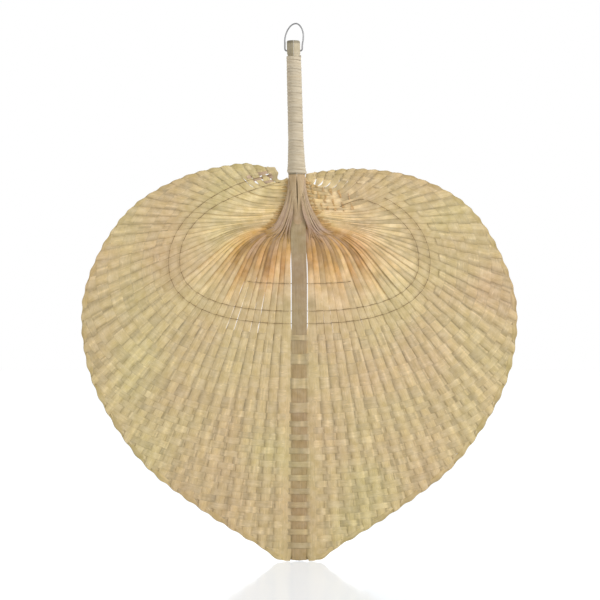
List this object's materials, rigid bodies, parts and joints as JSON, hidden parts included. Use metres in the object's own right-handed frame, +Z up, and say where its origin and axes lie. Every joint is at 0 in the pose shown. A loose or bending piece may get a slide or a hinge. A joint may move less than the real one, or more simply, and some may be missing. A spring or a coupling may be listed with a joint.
{
  "type": "woven bamboo hand fan",
  "caption": "Heart-shaped hand fan of split bamboo ribs woven with bamboo strips, with a cord-bound handle and a wire loop that hangs it handle up on a wall.",
  "frame": {"origin": "where a nail bears inside the top of the wire loop", "axes": "+Z up as the fan hangs, from the blade's tip to the loop; +Y to the wall; +X to the right as seen"},
  "size_m": [0.3278, 0.0147, 0.4029],
  "materials": {
    "culm": "dry bamboo skin, satin",
    "ribs": "split bamboo, satin",
    "spine": "split bamboo skin, satin",
    "edging": "split bamboo, matte",
    "weft": "split bamboo, matte",
    "thread": "dark twisted thread",
    "cord": "flat plant-fibre cord",
    "wire": "plain steel wire"
  },
  "bodies": {
    "fan": {"left_handle_half": "culm", "right_handle_half": "culm", "left_rib_fan": "ribs", "right_rib_fan": "ribs", "central_spine": "spine", "edging_strip": "edging", "weft_strip_01": "weft", "weft_strip_02": "weft", "weft_strip_03": "weft", "weft_strip_04": "weft", "weft_strip_05": "weft", "weft_strip_06": "weft", "weft_strip_07": "weft", "weft_strip_08": "weft", "weft_strip_09": "weft", "weft_strip_10": "weft", "weft_strip_11": "weft", "weft_strip_12": "weft", "weft_strip_13": "weft", "weft_strip_14": "weft", "weft_strip_15": "weft", "weft_strip_16": "weft", "weft_strip_17": "weft", "weft_strip_18": "weft", "weft_strip_19": "weft", "weft_strip_20": "weft", "weft_strip_21": "weft", "weft_strip_22": "weft", "weft_strip_23": "weft", "weft_strip_24": "weft", "weft_strip_25": "weft", "weft_strip_26": "weft", "weft_strip_27": "weft", "weft_strip_28": "weft", "inner_thread": "thread", "middle_thread": "thread", "outer_thread": "thread", "grip_cord": "cord"},
    "loop": {"hanging_loop": "wire"}
  },
  "joints": [
    {"name": "loop_swing", "type": "hinge", "parent": "fan", "child": "loop", "pos_m": [-0.0018, 0, -0.02], "axis": [1, 0, 0], "range_deg": [-155, 155]}
  ]
}
